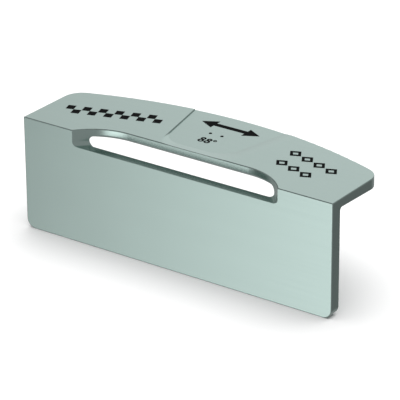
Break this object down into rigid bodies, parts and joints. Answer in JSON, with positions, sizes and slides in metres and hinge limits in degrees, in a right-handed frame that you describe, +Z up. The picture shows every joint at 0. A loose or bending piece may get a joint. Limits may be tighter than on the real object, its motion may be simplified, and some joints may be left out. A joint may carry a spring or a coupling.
{
  "type": "ski side edge file guide",
  "caption": "L-shaped aluminium side edge file guide for skis, with a bowed flange, a long slot through its outer corner, a shallow thumb recess and black printed marks.",
  "frame": {"origin": "middle of the bounding box's bottom face, at the plate's lower edge, halfway along the guide and halfway through its depth", "axes": "+X along the guide, to the right as seen from the plate's outer face; +Y from the plate towards the back of the flange; +Z up from the plate's lower edge to the flange's top"},
  "size_m": [0.12, 0.0383, 0.0395],
  "materials": {
    "anodised_aluminium": "satin hard-anodised, grey with a slight green tint",
    "black_ink": "matte black printing ink"
  },
  "bodies": {
    "root": {"guide_body": "anodised_aluminium", "chequer_print": "black_ink", "arrow_print": "black_ink", "index_dots_print": "black_ink", "angle_figures_print": "black_ink", "diamond_print": "black_ink"}
  },
  "joints": []
}
